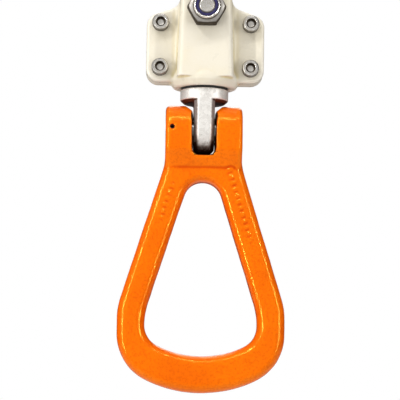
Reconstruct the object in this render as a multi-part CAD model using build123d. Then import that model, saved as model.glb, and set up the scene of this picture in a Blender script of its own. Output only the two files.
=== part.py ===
from build123d import *
import math
import os

# Lower swivel block of a hoist line, millimetres.
# Origin: centre of the anchor bolt on the joint face of the housing halves.
# +Z runs up the line, X runs across the flanges and the nut side faces -Y.

# Housing
face_half_depth = 16.0
block_half_width = 13.2
block_foot_half_width = 14.5
block_bottom_z = -34.0
neck_top_z = 16.0
block_edge_round = 3.2
neck_rim_round = 1.2
boss_top_radius = 15.8
boss_top_z = -26.0
boss_radius = 18.0
boss_shoulder_z = -33.5
boss_flank_z = -35.2
boss_foot_radius = 15.9
boss_depth_share = 0.93
boss_bottom_z = -38.4
boss_round = 1.5
flange_half_width = 30.1
flange_half_depth = 7.0
flange_bottom_z = -35.8
flange_shoulder_z = -2.2
flange_neck_z = 3.8
flange_top_z = 9.5
flange_corner_radius = 6.5
flange_neck_radius = 5.0
flange_edge_round = 1.6
flange_root_round = 4.0

# Cavities inside the housing, from the mouth downwards
throat_radius = 8.0
throat_bottom_z = 6.0
pocket_radius = 9.0
pocket_bottom_z = -10.0
nut_cavity_radius = 11.4
bearing_top_z = -21.0
bearing_bore_radius = 13.05
bearing_floor_z = -30.0
bush_outer_radius = 7.5
seal_seat_radius = 12.1
seal_seat_z = -37.4

# Screws that clamp the halves together, M5 socket head
clamp_half_pitch_x = 23.0
clamp_half_pitch_z = 11.5
clamp_centre_z = -17.3
clamp_radius = 2.5
clamp_clearance = 0.2
clamp_head_radius = 4.25
clamp_head_height = 5.0
clamp_head_chamfer = 0.5
clamp_socket_flats = 4.0
clamp_socket_depth = 2.6
clamp_tip_y = 6.2

# Locating dowels between the halves
dowel_radius = 1.5
dowel_half_length = 5.0
dowel_hole_slack = 0.5
pin_end_chamfer = 0.3

# Anchor bolt and lock nut, M10
bolt_radius = 5.0
bolt_clearance = 0.1
bolt_flats = 17.0
hexagon_chamfer_height = 0.8
hexagon_chamfer_depth = 1.3
bolt_head_height = 6.4
bolt_end_chamfer = 1.0
bolt_past_nut = 0.2
nut_height = 10.0
nut_hex_height = 7.9
nut_lip_radius = 6.7
nut_lip_round = 0.7
insert_radius = 5.65
insert_height = 2.6
insert_below_lip = 0.4

# Swivel eye
shank_radius = 6.0
shank_top_z = -12.2
shank_end_chamfer = 0.8
collar_radius = 12.3
collar_top_z = -39.15
collar_bottom_z = -44.5
collar_edge_round = 0.7
collar_cone_bottom_z = -46.2
collar_cone_radius = 10.4
eye_half_thickness = 5.3
eye_radius = 12.2
eye_edge_chamfer = 2.2
eye_hole_radius = 5.08

# Thrust bearing under the shank nut
race_thickness = 3.0
lower_race_bore_radius = 7.0
lower_race_radius = 13.0
upper_race_radius = 12.7
shank_fit = 0.02
ball_pitch_radius = 9.6
ball_radius = 2.0
ball_clearance = 0.1
ball_count = 12
cage_half_thickness = 0.9
cage_inner_radius = 6.9
cage_outer_radius = 12.1

# Shank nut, bush and seal
shank_nut_flats = 18.0
shank_nut_height = 7.5
shank_nut_chamfer_depth = 1.2
shank_nut_chamfer_height = 0.7
lock_pin_radius = 1.5
lock_pin_z = -17.2
lock_pin_half_length = 8.8
bush_bore_radius = 6.05
seal_bore_radius = 8.5
seal_radius = 11.9
seal_bottom_z = -38.9

# Pear link: head with two ears
pin_z = -60.2
ear_half_width = 19.6
ear_radius = 13.0
ear_flank_bottom_z = -70.6
ear_slope_end = (7.5, -79.6)
ear_slope_tip = (5.0, -82.2)
ear_slope_round = 7.0
ear_edge_round = 2.6
slot_half_width = 5.6
slot_bottom_z = -72.95
slot_floor_radius = 3.2
slot_flare_bottom_z = -50.6
slot_flare_top = (9.6, -47.0)
slot_draft = 4.4
slot_edge_round = 0.8

# Pear link: ring
ring_half_depth = 7.6
ring_edge_round = 5.2
ring_top_z = -72.0
shoulder_z = -76.0
shoulder_radius = 25.0
outer_leg_lean = 17.4
outer_leg_end = (40.7, -145.1)
outer_bend_radius = 35.8
outer_side_run = 7.7
outer_corner_radius = 25.9
outer_bow_radius = 64.2
opening_top_z = -86.6
crown_radius = 9.7
inner_leg_lean = 17.6
inner_leg_length = 56.6
inner_bend_radius = 39.7
inner_corner_radius = 11.2
inner_bow_radius = 49.4

# Load pin and its spring pin
load_pin_radius = 5.0
load_pin_fit = 0.02
load_pin_half_length = 19.0
load_pin_chamfer = 0.7
spring_pin_x = -16.1
spring_pin_z = -59.6
spring_pin_radius = 1.25
spring_pin_bore_radius = 0.75
spring_pin_slit = 0.5
spring_pin_half_length = 11.0

# Longer than any part, for cutting right through
across = 200.0

# Room for finding edges by where they lie
on_plane = 0.01
beside = 0.5


def upright(radius, bottom_z, top_z):
    """Cylinder on the swivel axis between two heights."""
    return Pos(0, 0, (bottom_z + top_z) / 2) * Cylinder(radius, top_z - bottom_z)


def ring_about_z(inner, outer, bottom_z, top_z):
    """Flat ring on the swivel axis."""
    return upright(outer, bottom_z, top_z) - upright(inner, bottom_z - 1, top_z + 1)


def front_to_back(radius, x, z, y_low, y_high):
    """Cylinder along Y."""
    middle = Pos(x, (y_low + y_high) / 2, z)
    return middle * Rot(90, 0, 0) * Cylinder(radius, y_high - y_low)


def side_to_side(radius, z, x_low, x_high):
    """Cylinder along X on the plane y = 0."""
    middle = Pos((x_low + x_high) / 2, 0, z)
    return middle * Rot(0, 90, 0) * Cylinder(radius, x_high - x_low)


def block(x_half, y_half, bottom_z, top_z):
    """Box centred on the swivel axis."""
    return Pos(0, 0, (bottom_z + top_z) / 2) * Box(2 * x_half, 2 * y_half, top_z - bottom_z)


def hexagon_bar(flats, y_low, y_high, flats_up):
    """Hexagonal bar along Y through the origin, with flats on top or at the sides."""
    corner_radius = flats / math.sqrt(3)
    turn = 0 if flats_up else 30
    outline = Plane.XZ * Rot(0, 0, turn) * RegularPolygon(corner_radius, 6)
    return Pos(0, y_low, 0) * extrude(outline, -(y_high - y_low))


def chamfered_hexagon(flats, y_low, y_high, chamfer_low, chamfer_high):
    """Hexagonal bar whose corners are turned off at the chosen ends."""
    bar = hexagon_bar(flats, y_low, y_high, True)
    corner_radius = flats / math.sqrt(3)
    turned = front_to_back(corner_radius, 0, 0, y_low, y_high)
    ends = []
    if chamfer_low:
        ends += turned.edges().filter_by(GeomType.CIRCLE).group_by(Axis.Y)[0]
    if chamfer_high:
        ends += turned.edges().filter_by(GeomType.CIRCLE).group_by(Axis.Y)[-1]
    turned = chamfer(ends, hexagon_chamfer_height, hexagon_chamfer_depth)
    return bar & turned


def clamp_places():
    """X and Z of the four clamping screws."""
    places = []
    for side in (-1, 1):
        for level in (-1, 1):
            x = side * clamp_half_pitch_x
            z = clamp_centre_z + level * clamp_half_pitch_z
            places.append((x, z))
    return places


def flange_outline():
    """Front outline of the flanges: square below, sloping up to the neck above."""
    right = Plane.XZ * Polyline(
        (0, flange_bottom_z),
        (flange_half_width, flange_bottom_z),
        (flange_half_width, flange_shoulder_z),
        (block_half_width, flange_neck_z),
        (block_half_width, flange_top_z),
        (0, flange_top_z),
    )
    half_face = make_face(right + Line(right @ 1, right @ 0))
    half_face = fillet(half_face.vertices().group_by(Axis.X)[-1], flange_corner_radius)
    neck_corner = Vector(block_half_width, 0, flange_neck_z)
    neck_vertex = half_face.vertices().sort_by_distance(neck_corner)[0]
    half_face = fillet(neck_vertex, flange_neck_radius)
    return half_face + mirror(half_face, Plane.YZ)


def flange_plate():
    """Ear plate that carries the clamping screws."""
    plate = extrude(flange_outline(), flange_half_depth, both=True)
    rim = plate.edges().filter_by(lambda e: abs(abs(e.center().Y) - flange_half_depth) < on_plane)
    return fillet(rim, flange_edge_round)


def flange_roots():
    """Concave fillets where the block stands out of the flange plate."""
    middle = flange_root_round / 2
    post = Pos(block_half_width + middle, flange_half_depth + middle) * Rectangle(
        flange_root_round, flange_root_round
    )
    hollow = Pos(block_half_width + flange_root_round, flange_half_depth + flange_root_round)
    corner = post - hollow * Circle(flange_root_round)
    corners = corner + mirror(corner, Plane.YZ)
    corners += mirror(corners, Plane.XZ)
    upright_roots = Pos(0, 0, block_bottom_z) * extrude(corners, -block_bottom_z + neck_top_z)
    return upright_roots & extrude(flange_outline(), face_half_depth, both=True)


def housing_block():
    """Square body of the housing: upright at the neck, wider towards the boss."""
    right = Plane.XZ * Polyline(
        (0, block_bottom_z),
        (block_foot_half_width, block_bottom_z),
        (block_half_width, flange_neck_z),
        (block_half_width, neck_top_z),
        (0, neck_top_z),
    )
    half_face = make_face(right + Line(right @ 1, right @ 0))
    body = extrude(half_face + mirror(half_face, Plane.YZ), face_half_depth, both=True)
    corners = body.edges().filter_by(
        lambda e: abs(abs(e.center().Y) - face_half_depth) < on_plane
        and abs(e.center().X) > block_half_width - beside
    )
    body = fillet(corners, block_edge_round)
    return fillet(body.edges().group_by(Axis.Z)[-1], neck_rim_round)


def housing_boss():
    """Foot of the housing: it swells out of the block and tapers to the seal, a little oval."""
    outline = Plane.XZ * Polyline(
        (0, boss_top_z),
        (boss_top_radius, boss_top_z),
        (boss_radius, boss_shoulder_z),
        (boss_radius, boss_flank_z),
        (boss_foot_radius, boss_bottom_z),
        (0, boss_bottom_z),
        close=True,
    )
    boss = revolve(make_face(outline), Axis.Z)
    rims = boss.edges().filter_by(GeomType.CIRCLE).filter_by(
        lambda e: boss_bottom_z - on_plane < e.center().Z < boss_top_z - on_plane
    )
    return scale(fillet(rims, boss_round), by=(1, boss_depth_share, 1))


def housing_body():
    """Both halves as one casting, with the cavities for everything inside."""
    shell = flange_plate() + flange_roots() + housing_block() + housing_boss()
    shell -= upright(throat_radius, throat_bottom_z, neck_top_z + 1)
    shell -= upright(pocket_radius, pocket_bottom_z, throat_bottom_z)
    shell -= upright(nut_cavity_radius, bearing_top_z, pocket_bottom_z)
    shell -= upright(bearing_bore_radius, bearing_floor_z, bearing_top_z)
    shell -= upright(bush_outer_radius, boss_bottom_z - 1, bearing_floor_z)
    shell -= upright(seal_seat_radius, boss_bottom_z - 1, seal_seat_z)
    shell -= front_to_back(bolt_radius + bolt_clearance, 0, 0, -across, across)
    for side in (-1, 1):
        x = side * clamp_half_pitch_x
        length = dowel_half_length + dowel_hole_slack
        shell -= front_to_back(dowel_radius, x, clamp_centre_z, -length, length)
    return shell


def housing_half(shell, side, hole_radius):
    """Front half for side -1 and rear half for side 1, with its four screw holes."""
    keep = Pos(0, side * across / 2, 0) * Box(across, across, across)
    half = shell & keep
    for x, z in clamp_places():
        half -= front_to_back(hole_radius, x, z, -across, across)
    return half


def cap_screw(x, z):
    """One socket-head screw, its head on the front flange face."""
    top_y = -flange_half_depth - clamp_head_height
    head = front_to_back(clamp_head_radius, x, z, top_y, -flange_half_depth)
    head = chamfer(head.edges().group_by(Axis.Y)[0], clamp_head_chamfer)
    stem = front_to_back(clamp_radius, x, z, -flange_half_depth, clamp_tip_y)
    stem = chamfer(stem.edges().group_by(Axis.Y)[-1], clamp_head_chamfer)
    socket = hexagon_bar(clamp_socket_flats, top_y, top_y + clamp_socket_depth, False)
    return head + stem - Pos(x, 0, z) * socket


def cap_screws():
    """The four clamping screws."""
    return Compound(children=[cap_screw(x, z) for x, z in clamp_places()])


def locating_dowels():
    """The two dowels that line the halves up."""
    pins = []
    for side in (-1, 1):
        x = side * clamp_half_pitch_x
        pin = front_to_back(dowel_radius, x, clamp_centre_z, -dowel_half_length, dowel_half_length)
        pins.append(chamfer(pin.edges().filter_by(GeomType.CIRCLE), pin_end_chamfer))
    return Compound(children=pins)


def anchor_bolt():
    """Through bolt that carries the end of the hoist line."""
    head_top = face_half_depth + bolt_head_height
    tip_y = -face_half_depth - nut_height - bolt_past_nut
    head = chamfered_hexagon(bolt_flats, face_half_depth, head_top, False, True)
    stem = front_to_back(bolt_radius, 0, 0, tip_y, face_half_depth)
    stem = chamfer(stem.edges().group_by(Axis.Y)[0], bolt_end_chamfer)
    return head + stem


def anchor_nut():
    """Lock nut with a rolled lip round its plastic ring."""
    base_y = -face_half_depth
    hex_y = base_y - nut_hex_height
    lip_y = base_y - nut_height
    nut = chamfered_hexagon(bolt_flats, hex_y, base_y, True, False)
    lip = front_to_back(nut_lip_radius, 0, 0, lip_y, hex_y)
    nut += fillet(lip.edges().group_by(Axis.Y)[0], nut_lip_round)
    nut -= front_to_back(bolt_radius, 0, 0, -across, 0)
    nut -= front_to_back(insert_radius, 0, 0, -across, insert_back_y())
    return nut


def insert_back_y():
    """Y of the plastic ring's inner end."""
    return -face_half_depth - nut_height + insert_below_lip + insert_height


def nylon_insert():
    """Plastic locking ring inside the nut's lip."""
    front_y = insert_back_y() - insert_height
    ring = front_to_back(insert_radius, 0, 0, front_y, insert_back_y())
    return ring - front_to_back(bolt_radius, 0, 0, -across, 0)


def swivel_eye():
    """Forged eye: threaded shank, round collar and flat eye in one piece."""
    shank = upright(shank_radius, collar_bottom_z, shank_top_z)
    shank = chamfer(shank.edges().group_by(Axis.Z)[-1], shank_end_chamfer)
    collar = upright(collar_radius, collar_bottom_z, collar_top_z)
    collar = fillet(collar.edges().group_by(Axis.Z)[-1], collar_edge_round)
    cone_height = collar_bottom_z - collar_cone_bottom_z
    cone = Pos(0, 0, collar_bottom_z - cone_height / 2) * Cone(
        collar_cone_radius, collar_radius, cone_height
    )
    eye = shank + collar + cone + eye_plate()
    eye -= side_to_side(eye_hole_radius, pin_z, -across, across)
    eye -= side_to_side(lock_pin_radius, lock_pin_z, -across, across)
    return eye


def eye_plate():
    """Flat eye, as deep as the collar and round about the load pin."""
    plate = block(eye_half_thickness, eye_radius, pin_z, collar_bottom_z)
    plate += side_to_side(eye_radius, pin_z, -eye_half_thickness, eye_half_thickness)
    outline = plate.edges().filter_by(
        lambda e: abs(abs(e.center().X) - eye_half_thickness) < on_plane
        and e.center().Z < collar_bottom_z - beside
    )
    return chamfer(outline, eye_edge_chamfer)


def ball_centre_z():
    """Height of the ball row, midway between the races."""
    return (bearing_floor_z + bearing_top_z) / 2


def race(inner, outer, bottom_z):
    """One bearing washer with its ball groove."""
    washer = ring_about_z(inner, outer, bottom_z, bottom_z + race_thickness)
    groove = Torus(ball_pitch_radius, ball_radius + ball_clearance)
    return washer - Pos(0, 0, ball_centre_z()) * groove


def ball_places():
    """Places of the balls round the bearing."""
    return PolarLocations(ball_pitch_radius, ball_count)


def bearing_balls():
    """The row of balls."""
    height = Pos(0, 0, ball_centre_z())
    return Compound(children=[height * place * Sphere(ball_radius) for place in ball_places()])


def ball_cage():
    """Flat ring that keeps the balls apart."""
    low = ball_centre_z() - cage_half_thickness
    high = ball_centre_z() + cage_half_thickness
    cage = ring_about_z(cage_inner_radius, cage_outer_radius, low, high)
    hole = Cylinder(ball_radius + ball_clearance, 4 * cage_half_thickness)
    for place in ball_places():
        cage -= Pos(0, 0, ball_centre_z()) * place * hole
    return cage


def shank_nut():
    """Nut that rests on the bearing and carries the load."""
    corner_radius = shank_nut_flats / math.sqrt(3)
    top_z = bearing_top_z + shank_nut_height
    outline = Rot(0, 0, 30) * RegularPolygon(corner_radius, 6)
    nut = Pos(0, 0, bearing_top_z) * extrude(outline, shank_nut_height)
    turned = upright(corner_radius, bearing_top_z, top_z)
    rims = turned.edges().filter_by(GeomType.CIRCLE)
    nut &= chamfer(rims, shank_nut_chamfer_height, shank_nut_chamfer_depth)
    nut -= upright(shank_radius, bearing_top_z - 1, top_z + 1)
    return nut - side_to_side(lock_pin_radius, lock_pin_z, -across, across)


def nut_lock_pin():
    """Pin through the shank nut and the shank."""
    pin = side_to_side(lock_pin_radius, lock_pin_z, -lock_pin_half_length, lock_pin_half_length)
    return chamfer(pin.edges().filter_by(GeomType.CIRCLE), pin_end_chamfer)


def ear_profile():
    """Side outline of the link's head: round top, upright flanks and sloping lower faces."""
    flank = Line((ear_radius, pin_z), (ear_radius, ear_flank_bottom_z))
    slope = Polyline(flank @ 1, ear_slope_end, ear_slope_tip)
    foot = Line(slope @ 1, (0, ear_slope_tip[1]))
    crown = RadiusArc((0, pin_z + ear_radius), (ear_radius, pin_z), ear_radius)
    axis = Line(foot @ 1, crown @ 0)
    half_face = make_face([crown, flank, slope, foot, axis])
    corner = half_face.vertices().sort_by_distance(flank @ 1)[0]
    half_face = fillet(corner, ear_slope_round)
    return Plane.YZ * (half_face + mirror(half_face, Plane.YZ))


def link_head():
    """Forged head whose two ears stand either side of the eye."""
    head = extrude(ear_profile(), ear_half_width, both=True)
    rim = head.edges().filter_by(lambda e: abs(abs(e.center().X) - ear_half_width) < on_plane)
    return fillet(rim, ear_edge_round)


def bow_turn(side_x, corner_radius, bow_radius):
    """Degrees turned at the corner so that the bow's centre falls on the axis."""
    return math.degrees(math.acos((side_x - corner_radius) / (bow_radius - corner_radius)))


def ring_outer():
    """Right half of the ring's outer outline."""
    lean = math.radians(outer_leg_lean)
    side_x = outer_leg_end[0] + outer_bend_radius * (1 - math.cos(lean))
    turn = bow_turn(side_x, outer_corner_radius, outer_bow_radius)
    top = Line((0, ring_top_z), (ear_half_width, ring_top_z))
    flare_x = ear_half_width + shoulder_radius * (1 - math.cos(lean))
    flare_z = leg_height_at(flare_x)
    side = Line(top @ 1, (ear_half_width, flare_z + shoulder_radius * math.sin(lean)))
    flare = JernArc(side @ 1, (0, -1), shoulder_radius, outer_leg_lean)
    leg = Line(flare @ 1, outer_leg_end)
    bend = JernArc(leg @ 1, leg % 1, outer_bend_radius, -outer_leg_lean)
    run = Line(bend @ 1, (bend @ 1) + Vector(0, -outer_side_run))
    corner = JernArc(run @ 1, (0, -1), outer_corner_radius, -turn)
    bow = JernArc(corner @ 1, corner % 1, outer_bow_radius, turn - 90)
    return [top, side, flare, leg, bend, run, corner, bow]


def leg_height_at(x):
    """Height of the leg's outer line at a distance from the axis."""
    lean = math.radians(outer_leg_lean)
    return outer_leg_end[1] + (outer_leg_end[0] - x) / math.tan(lean)


def ring_inner():
    """Right half of the opening's outline."""
    crown = JernArc((0, opening_top_z), (1, 0), crown_radius, inner_leg_lean - 90)
    leg = Line(crown @ 1, (crown @ 1) + (crown % 1) * inner_leg_length)
    bend = JernArc(leg @ 1, leg % 1, inner_bend_radius, -inner_leg_lean)
    side_x = (bend @ 1).X
    turn = bow_turn(side_x, inner_corner_radius, inner_bow_radius)
    corner = JernArc(bend @ 1, (0, -1), inner_corner_radius, -turn)
    bow = JernArc(corner @ 1, corner % 1, inner_bow_radius, turn - 90)
    return [crown, leg, bend, corner, bow]


def closed_outline(right_half):
    """Whole face from the right half of a symmetric outline."""
    first = right_half[0] @ 0
    last = right_half[-1] @ 1
    half_face = make_face(right_half + [Line(last, first)])
    return half_face + mirror(half_face, Plane.YZ)


def link_ring():
    """Pear-shaped ring with well rounded edges."""
    outline = Plane.XZ * (closed_outline(ring_outer()) - closed_outline(ring_inner()))
    ring = extrude(outline, ring_half_depth, both=True)
    rims = ring.edges().filter_by(
        lambda e: abs(abs(e.center().Y) - ring_half_depth) < on_plane
        and e.center().Z < ring_top_z - beside
    )
    return fillet(rims, ring_edge_round)


def slot_outline():
    """Slot between the ears at its narrowest: rounded floor, upright walls and flared mouth."""
    floor = Line((0, slot_bottom_z), (slot_half_width - slot_floor_radius, slot_bottom_z))
    corner = JernArc(floor @ 1, (1, 0), slot_floor_radius, 90)
    mouth = Polyline(
        corner @ 1,
        (slot_half_width, slot_flare_bottom_z),
        slot_flare_top,
        (slot_flare_top[0], pin_z + 2 * ear_radius),
        (0, pin_z + 2 * ear_radius),
    )
    return closed_outline([floor, corner, mouth])


def ear_slot():
    """Slot that widens with forging draft towards both faces."""
    half = extrude(Plane.XZ * slot_outline(), 2 * ear_radius, taper=-slot_draft)
    return half + mirror(half, Plane.XZ)


def slot_rim(link):
    """Edges of the slot's floor and walls on the faces of the ears."""
    reach = slot_half_width + ear_radius * math.tan(math.radians(slot_draft)) + on_plane
    return link.edges().filter_by(
        lambda e: abs(e.center().X) < reach
        and slot_bottom_z - slot_half_width < e.center().Z < slot_flare_bottom_z
        and abs(e.center().Y) > ear_radius / 2
    )


def pear_link():
    """Forged link: head and ring in one piece."""
    link = link_head() + link_ring()
    link -= ear_slot()
    link = fillet(slot_rim(link), slot_edge_round)
    link -= side_to_side(load_pin_radius + load_pin_fit, pin_z, -across, across)
    link -= front_to_back(spring_pin_radius, spring_pin_x, spring_pin_z, -across, across)
    return link


def load_pin():
    """Pin that joins the eye and the ears, cross-drilled at one end."""
    pin = side_to_side(load_pin_radius, pin_z, -load_pin_half_length, load_pin_half_length)
    pin = chamfer(pin.edges().filter_by(GeomType.CIRCLE), load_pin_chamfer)
    return pin - front_to_back(spring_pin_radius, spring_pin_x, spring_pin_z, -across, across)


def spring_pin():
    """Slotted tubular pin that keeps the load pin in."""
    low = -spring_pin_half_length
    high = spring_pin_half_length
    pin = front_to_back(spring_pin_radius, spring_pin_x, spring_pin_z, low, high)
    pin -= front_to_back(spring_pin_bore_radius, spring_pin_x, spring_pin_z, -across, across)
    slit = Box(2 * spring_pin_radius, across, spring_pin_slit)
    return pin - Pos(spring_pin_x - spring_pin_radius, 0, spring_pin_z) * slit


def save(name, shape):
    """Write one node."""
    export_step(shape, os.path.join("parts", name + ".step"))


def main():
    os.makedirs("parts", exist_ok=True)
    shell = housing_body()
    save("housing_front", housing_half(shell, -1, clamp_radius + clamp_clearance))
    save("housing_rear", housing_half(shell, 1, clamp_radius))
    save("cap_screws", cap_screws())
    save("locating_dowels", locating_dowels())
    save("anchor_bolt", anchor_bolt())
    save("anchor_nut", anchor_nut())
    save("nylon_insert", nylon_insert())
    save("shank_bush", ring_about_z(bush_bore_radius, bush_outer_radius, seal_seat_z, bearing_floor_z))
    save("dust_seal", ring_about_z(seal_bore_radius, seal_radius, seal_bottom_z, seal_seat_z))
    save("lower_race", race(lower_race_bore_radius, lower_race_radius, bearing_floor_z))
    upper_bottom = bearing_top_z - race_thickness
    save("upper_race", race(shank_radius + shank_fit, upper_race_radius, upper_bottom))
    save("ball_cage", ball_cage())
    save("bearing_balls", bearing_balls())
    save("shank_nut", shank_nut())
    save("nut_lock_pin", nut_lock_pin())
    save("swivel_eye", swivel_eye())
    save("pear_link", pear_link())
    save("load_pin", load_pin())
    save("spring_pin", spring_pin())


main()
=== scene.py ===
"""Swivel hoist ring: cream swivel housing, galvanised eye and orange pear link."""

import logging
import math
from dataclasses import dataclass
from enum import Enum

import bmesh
import bpy
import numpy as np
from mathutils import Matrix, Vector


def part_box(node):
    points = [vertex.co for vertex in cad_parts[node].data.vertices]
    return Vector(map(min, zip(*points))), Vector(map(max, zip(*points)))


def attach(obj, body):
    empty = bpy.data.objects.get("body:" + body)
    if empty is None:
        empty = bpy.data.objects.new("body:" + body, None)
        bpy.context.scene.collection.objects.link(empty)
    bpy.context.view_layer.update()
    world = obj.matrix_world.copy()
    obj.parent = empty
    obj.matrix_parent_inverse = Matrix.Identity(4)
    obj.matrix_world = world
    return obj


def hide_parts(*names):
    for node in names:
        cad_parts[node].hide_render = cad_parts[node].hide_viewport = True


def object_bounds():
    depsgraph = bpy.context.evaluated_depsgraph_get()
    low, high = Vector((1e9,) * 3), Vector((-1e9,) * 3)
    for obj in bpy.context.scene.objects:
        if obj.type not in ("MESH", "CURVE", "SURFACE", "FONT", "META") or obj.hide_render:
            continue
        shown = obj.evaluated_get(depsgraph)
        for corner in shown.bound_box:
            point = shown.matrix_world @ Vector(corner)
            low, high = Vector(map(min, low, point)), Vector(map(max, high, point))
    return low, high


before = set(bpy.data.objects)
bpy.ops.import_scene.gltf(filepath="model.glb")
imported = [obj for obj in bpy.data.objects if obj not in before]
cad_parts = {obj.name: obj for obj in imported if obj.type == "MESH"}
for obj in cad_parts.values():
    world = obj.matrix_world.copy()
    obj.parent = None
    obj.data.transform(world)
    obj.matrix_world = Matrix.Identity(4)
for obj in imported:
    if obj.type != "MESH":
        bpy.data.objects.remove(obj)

CAD_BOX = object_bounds()
MM = 0.001
FULL_TURN = 2 * math.pi
AROUND = 96
WELD = 0.01 * MM
RELIEF = "relief"
RELIEF_ROUNDS = 5
MARKED_SHARE = 97
WAVE_MIDDLE = 0.85

log = logging.getLogger("hoist_ring")

Colour = tuple[float, float, float]


# --------------------------------------------------------------------------
# Shader expressions
# --------------------------------------------------------------------------


class Signal:
    """A shader socket that takes part in Python expressions."""

    def __init__(self, graph: "Graph", socket: bpy.types.NodeSocket) -> None:
        """Wrap a socket.

        Args:
            graph: The graph that the socket belongs to.
            socket: The output that carries the value.
        """
        self.graph = graph
        self.socket = socket

    def _maths(self, operation: str, first: "Value", second: "Value") -> "Signal":
        """One Math node.

        Args:
            operation: The node's operation.
            first: Its first value.
            second: Its second value.

        Returns:
            The node's result.
        """
        return self.graph.node("ShaderNodeMath", {"operation": operation}, {0: first, 1: second})

    def __add__(self, other: "Value") -> "Signal":
        """Sum."""
        return self._maths("ADD", self, other)

    __radd__ = __add__

    def __mul__(self, other: "Value") -> "Signal":
        """Product."""
        return self._maths("MULTIPLY", self, other)

    __rmul__ = __mul__

    def __sub__(self, other: "Value") -> "Signal":
        """Difference."""
        return self._maths("SUBTRACT", self, other)

    def __rsub__(self, other: "Value") -> "Signal":
        """Difference, reflected."""
        return self._maths("SUBTRACT", other, self)

    def __neg__(self) -> "Signal":
        """The value with its sign turned."""
        return self * -1.0

    def __abs__(self) -> "Signal":
        """The value without its sign."""
        return self._maths("ABSOLUTE", self, 0.0)

    def within(self, low: float, high: float) -> "Signal":
        """Spread the stretch from low to high over 0 to 1, clamped.

        Args:
            low: The value that becomes 0.
            high: The value that becomes 1.

        Returns:
            The spread value.
        """
        return self.graph.node(
            "ShaderNodeMapRange",
            {"interpolation_type": "SMOOTHSTEP"},
            {"Value": self, "From Min": low, "From Max": high},
        )


Value = Signal | float | tuple


class Graph:
    """The node tree of one material or of the surroundings."""

    def __init__(self, owner: bpy.types.Material | bpy.types.World) -> None:
        """Start with an empty tree.

        Args:
            owner: The new material or world.
        """
        self.owner = owner
        owner.use_nodes = True
        self.tree = owner.node_tree
        self.tree.nodes.clear()

    @classmethod
    def of_material(cls, name: str) -> "Graph":
        """Graph of a new material."""
        return cls(bpy.data.materials.new(name))

    def node(
        self,
        kind: str,
        settings: dict[str, object] | None = None,
        inputs: dict[int | str, Value] | None = None,
        output: int | str = 0,
    ) -> Signal:
        """Add any node.

        Args:
            kind: The node's type.
            settings: Its own properties, set first.
            inputs: A value or a signal for each socket, by name or number.
            output: The socket to return.

        Returns:
            The chosen output as a signal.
        """
        made = self.tree.nodes.new(kind)
        for key, value in (settings or {}).items():
            setattr(made, key, value)
        for key, value in (inputs or {}).items():
            if isinstance(value, Signal):
                self.tree.links.new(value.socket, made.inputs[key])
            else:
                made.inputs[key].default_value = value
        return Signal(self, made.outputs[output])

    def place(self) -> Signal:
        """Object coordinates, in metres."""
        return self.node("ShaderNodeTexCoord", output="Object")

    def stretched(self, scale: tuple[float, float, float]) -> Signal:
        """Object coordinates, scaled.

        Args:
            scale: Scale along each axis.

        Returns:
            The mapped coordinates.
        """
        return self.node("ShaderNodeMapping", None, {"Vector": self.place(), "Scale": scale})

    def noise(self, per_metre: float, detail: float = 3, rough: float = 0.5,
              where: Signal | None = None) -> Signal:
        """Noise about 0.5.

        Args:
            per_metre: Features per metre.
            detail: Octaves.
            rough: Weight of the finer octaves.
            where: Coordinates, or the object's own.

        Returns:
            The noise value.
        """
        return self.node(
            "ShaderNodeTexNoise",
            {"noise_dimensions": "3D"},
            {
                "Vector": where or self.place(),
                "Scale": per_metre,
                "Detail": detail,
                "Roughness": rough,
            },
        )

    def cells(self, per_metre: float) -> Signal:
        """Voronoi cells, each with its own random tint.

        Args:
            per_metre: Cells per metre.

        Returns:
            The tint.
        """
        return self.node(
            "ShaderNodeTexVoronoi", None, {"Vector": self.place(), "Scale": per_metre}, "Color"
        )

    def relief(self) -> Signal:
        """How far the surface stands out of or into its surroundings; on turned pieces, minus the
        painted shade their levels ask for.
        """
        return self.node("ShaderNodeAttribute", {"attribute_name": RELIEF}, output="Fac")

    def mix(self, factor: Value, low: Value, high: Value) -> Signal:
        """Mix two colours.

        Args:
            factor: 0 gives low, 1 gives high.
            low: First colour.
            high: Second colour.

        Returns:
            The mixed colour.
        """
        return self.node(
            "ShaderNodeMix",
            {"data_type": "RGBA", "clamp_factor": True},
            {0: factor, 6: rgba(low), 7: rgba(high)},
            2,
        )

    def bump(self, height: Signal, depth: float, under: Signal | None = None) -> Signal:
        """Turn a height into a normal.

        Args:
            height: The height, about 0 to 1.
            depth: What a height of 1 measures, in metres.
            under: A normal to start from.

        Returns:
            The bent normal.
        """
        inputs: dict[int | str, Value] = {"Height": height, "Distance": depth, "Strength": 1.0}
        if under is not None:
            inputs["Normal"] = under
        return self.node("ShaderNodeBump", None, inputs)

    def along(self, axis: str) -> Signal:
        """Object coordinate along one axis, in millimetres."""
        return self.node("ShaderNodeSeparateXYZ", None, {0: self.place()}, axis) * (1 / MM)

    def finish(self, surface: dict[int | str, Value]) -> bpy.types.Material:
        """End with a Principled shader.

        Args:
            surface: Values and signals for the shader's sockets.

        Returns:
            The finished material.
        """
        shader = self.node("ShaderNodeBsdfPrincipled", None, surface)
        self.output("ShaderNodeOutputMaterial", shader)
        return self.owner

    def output(self, kind: str, shader: Signal) -> None:
        """Link a shader to a new output node of the given type."""
        end = self.tree.nodes.new(kind)
        self.tree.links.new(shader.socket, end.inputs["Surface"])


def rgba(colour: Value) -> Value:
    """Give a plain colour its fourth number; signals pass through."""
    if isinstance(colour, tuple) and len(colour) == 3:
        return (*colour, 1.0)
    return colour


# --------------------------------------------------------------------------
# Finishes
# --------------------------------------------------------------------------


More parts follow.
